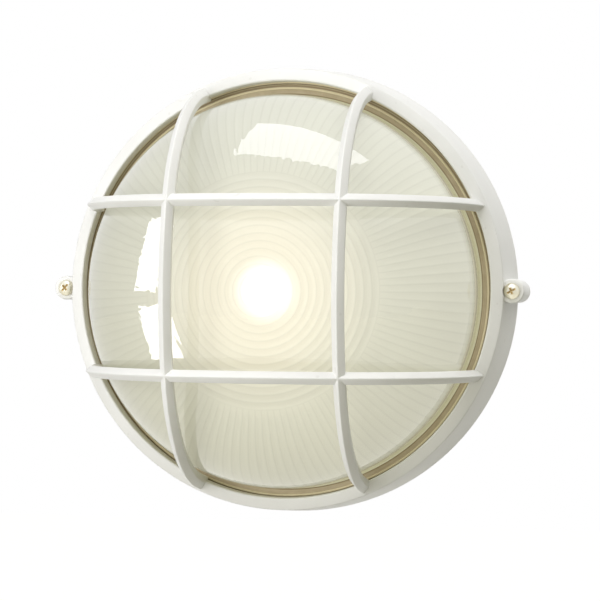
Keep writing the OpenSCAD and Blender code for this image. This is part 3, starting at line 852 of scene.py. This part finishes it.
def plain_material(name, light, dark, rough, scale, coat=0.0, relief=0.00008):
    """Moulded or fired surface with slight mottling and relief."""
    mat, tree = material(name)
    co = object_coords(tree)
    mottle = noise(tree, co, scale, detail=4, roughness=0.6)
    grain = noise(tree, co, scale * 5, detail=3)
    output(tree, principled(tree, {
        "Base Color": blend(tree, ramp(tree, mottle, 0.25, 0.75), dark, light),
        "Roughness": rough, "Coat Weight": coat, "Coat Roughness": 0.08,
        "Normal": bump(tree, grain, distance=relief, strength=0.5)}))
    return mat


def bulb_material():
    """Frosted lamp that glows, with a brass cap below the neck."""
    mat, tree = material("frosted_lamp")
    co = object_coords(tree)
    height = add(tree, "ShaderNodeSeparateXYZ", {0: co}).outputs[2]
    cap_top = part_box("bulb")[0].z + LAMP_CAP_H
    frost = principled(tree, {
        "Base Color": blend(tree, noise(tree, co, scale=300), *LAMP_FROST),
        "Roughness": 0.5, "Emission Color": LAMP_GLOW, "Emission Strength": 1.2})
    cap = principled(tree, {
        "Base Color": blend(tree, noise(tree, co, scale=400), *LAMP_CAP),
        "Metallic": 1.0, "Roughness": 0.3})
    output(tree, mix_shader(tree, maths(tree, "LESS_THAN", height, cap_top), frost, cap))
    return mat


# Build

def wear(name, mat):
    """Gives a carried-over CAD node its material."""
    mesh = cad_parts[name].data
    for i in range(len(mesh.materials)):
        mesh.materials[i] = mat


def finish_piece(obj, node, *mats):
    """Gives a new piece its materials and puts it in the place of a CAD node."""
    dress(obj, mats)
    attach(obj, "root")
    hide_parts(node)


enamel = paint_material()
finish_piece(make_guard(), "guard_frame", enamel)
finish_piece(make_glass(), "glass_lens", glass_outer_material(), glass_inner_material(),
             glass_edge_material())
finish_piece(make_rubber(), "lens_gasket", rubber_material())
zinc = metal_material("yellow_zinc", (0.84, 0.82, 0.70), (0.64, 0.60, 0.46), rough=0.42)
# Painted shade inside the cross recess: browner, duller and less metallic than the head
recess_shade = metal_material("screw_recess_shade", (0.86, 0.74, 0.47), (0.68, 0.56, 0.33), rough=0.6,
                        metallic=0.2)
for name, x, turn in (("cover_screw_right", EAR_X, 29), ("cover_screw_left", -EAR_X, 48)):
    finish_piece(make_screw(name, x, turn, (zinc, recess_shade)), "cover_screws")

foam = plain_material("black_foam", (0.06, 0.06, 0.06), (0.025, 0.025, 0.025), rough=0.95,
                      scale=420, relief=0.0006)
steel = metal_material("galvanised_steel", (0.68, 0.69, 0.70), (0.48, 0.49, 0.51), rough=0.38,
                       scale=90)
brass = metal_material("brass", (0.80, 0.62, 0.32), (0.62, 0.45, 0.20), rough=0.3)
nickel = metal_material("nickel", (0.76, 0.75, 0.72), (0.60, 0.59, 0.56), rough=0.28)
porcelain = plain_material("porcelain", (0.84, 0.83, 0.79), (0.78, 0.77, 0.73), rough=0.3,
                           scale=120, coat=1.0)
green = metal_material("green_screw", (0.10, 0.38, 0.18), (0.06, 0.28, 0.12), rough=0.35,
                       scale=160, metallic=0.6)
for mat, names in (
        (enamel, ("base_housing",)),
        (foam, ("wall_gasket",)),
        (steel, ("holder_bracket", "bracket_washers")),
        (porcelain, ("holder_body",)),
        (brass, ("screw_shell", "centre_contact", "line_plate", "line_screw", "ground_washer")),
        (nickel, ("neutral_plate", "neutral_screw")),
        (green, ("ground_screw",)),
        (bulb_material(), ("bulb",))):
    for name in names:
        wear(name, mat)
for name in ("bracket_screws", "holder_screws"):
    wear(name, metal_material("zinc_" + name, (0.72, 0.73, 0.75), (0.55, 0.56, 0.58), rough=0.3))


# Studio

def direction(azimuth, elevation):
    """From the light towards the viewer, turned to the right by azimuth and up by elevation."""
    a, e = math.radians(azimuth), math.radians(elevation)
    return Vector((math.sin(a) * math.cos(e), -math.cos(a) * math.cos(e), math.sin(e)))


def rightward(azimuth):
    return Vector((math.cos(math.radians(azimuth)), math.sin(math.radians(azimuth)), 0))


def aimed(right, out):
    """Rotation that turns local x to right and local z to out."""
    return Matrix((right, out.cross(right), out)).transposed().to_4x4()


def world_light():
    """White background for camera, mirror and glass rays; a dimmer, even light otherwise."""
    world = bpy.data.worlds.new("studio")
    scene.world = world
    world.use_nodes = True
    tree = world.node_tree
    tree.nodes.clear()
    even = add(tree, "ShaderNodeBackground", {"Color": EVEN_TINT, "Strength": EVEN_LIGHT})
    white = add(tree, "ShaderNodeBackground", {"Color": WHITE, "Strength": 1.0})
    shader = mix_shader(tree, seen_rays(tree), even.outputs[0], white.outputs[0])
    add(tree, "ShaderNodeOutputWorld", {"Surface": shader})


def floor():
    """Pale floor under the light: white in view, but it keeps the object's shadow."""
    mesh = bpy.data.meshes.new("floor")
    s, z = FLOOR_HALF, FLOOR_Z
    mesh.from_pydata([(-s, -s, z), (s, -s, z), (s, s, z), (-s, s, z)], [], [(0, 1, 2, 3)])
    obj = bpy.data.objects.new("floor", mesh)
    scene.collection.objects.link(obj)
    mat, tree = material("pale_floor")
    diffuse = add(tree, "ShaderNodeBsdfDiffuse", {"Color": FLOOR}).outputs[0]
    glow = add(tree, "ShaderNodeEmission", {"Color": WHITE, "Strength": FLOOR_GLOW}).outputs[0]
    both = add(tree, "ShaderNodeAddShader", {0: diffuse, 1: glow}).outputs[0]
    output(tree, mix_shader(tree, seen_rays(tree), diffuse, both))
    mesh.materials.append(mat)


def soft_box(name, centre, azimuth, elevation, roll, size_x, size_y, radiance, colour=COOL,
             mirrored=True):
    """Rectangular area lamp that shines from the given direction; roll turns it in its plane."""
    data = bpy.data.lights.new(name, "AREA")
    data.shape = "RECTANGLE"
    data.size, data.size_y = size_x, size_y
    data.energy = radiance * math.pi * size_x * size_y
    data.color = colour
    obj = bpy.data.objects.new(name, data)
    scene.collection.objects.link(obj)
    turn = (aimed(rightward(azimuth), direction(azimuth, elevation))
            @ Matrix.Rotation(math.radians(roll), 4, "Z"))
    obj.matrix_world = Matrix.Translation(centre) @ turn
    obj.visible_camera = False
    obj.visible_glossy = mirrored


def make_camera():
    """Camera at the photograph's place, rolled around its line of sight."""
    roll = math.radians(CAM_ROLL)
    back, level = direction(CAM_AZIMUTH, CAM_ELEVATION), rightward(CAM_AZIMUTH)
    right = level * math.cos(roll) + back.cross(level) * math.sin(roll)
    data = bpy.data.cameras.new("camera")
    data.sensor_width = SENSOR
    data.lens = FOCAL_PX / IMAGE_LONG_SIDE * SENSOR
    data.clip_start = CLIP_NEAR
    data.clip_end = CLIP_FAR
    camera = bpy.data.objects.new("camera", data)
    scene.collection.objects.link(camera)
    position = Matrix.Translation(CAM_TARGET + back * CAM_DISTANCE)
    camera.matrix_world = position @ aimed(right, back)
    scene.camera = camera


world_light()
floor()
soft_box("overhead", *OVERHEAD_BOX, OVERHEAD)
window_centre = WINDOW_ORIGIN + direction(WINDOW_AZIMUTH, 0)
for name, u, v, roll, w, h in WINDOWS:
    centre = window_centre + rightward(WINDOW_AZIMUTH) * u + Vector((0, 0, v))
    soft_box(name, centre, WINDOW_AZIMUTH, 0, roll, w, h, WINDOW)
for name, azimuth, elevation, distance, size, radiance, colour in FILLS:
    soft_box(name, direction(azimuth, elevation) * distance, azimuth, elevation, 0, size, size,
             radiance, colour, mirrored=False)
make_camera()
scene.view_settings.view_transform = "Standard"
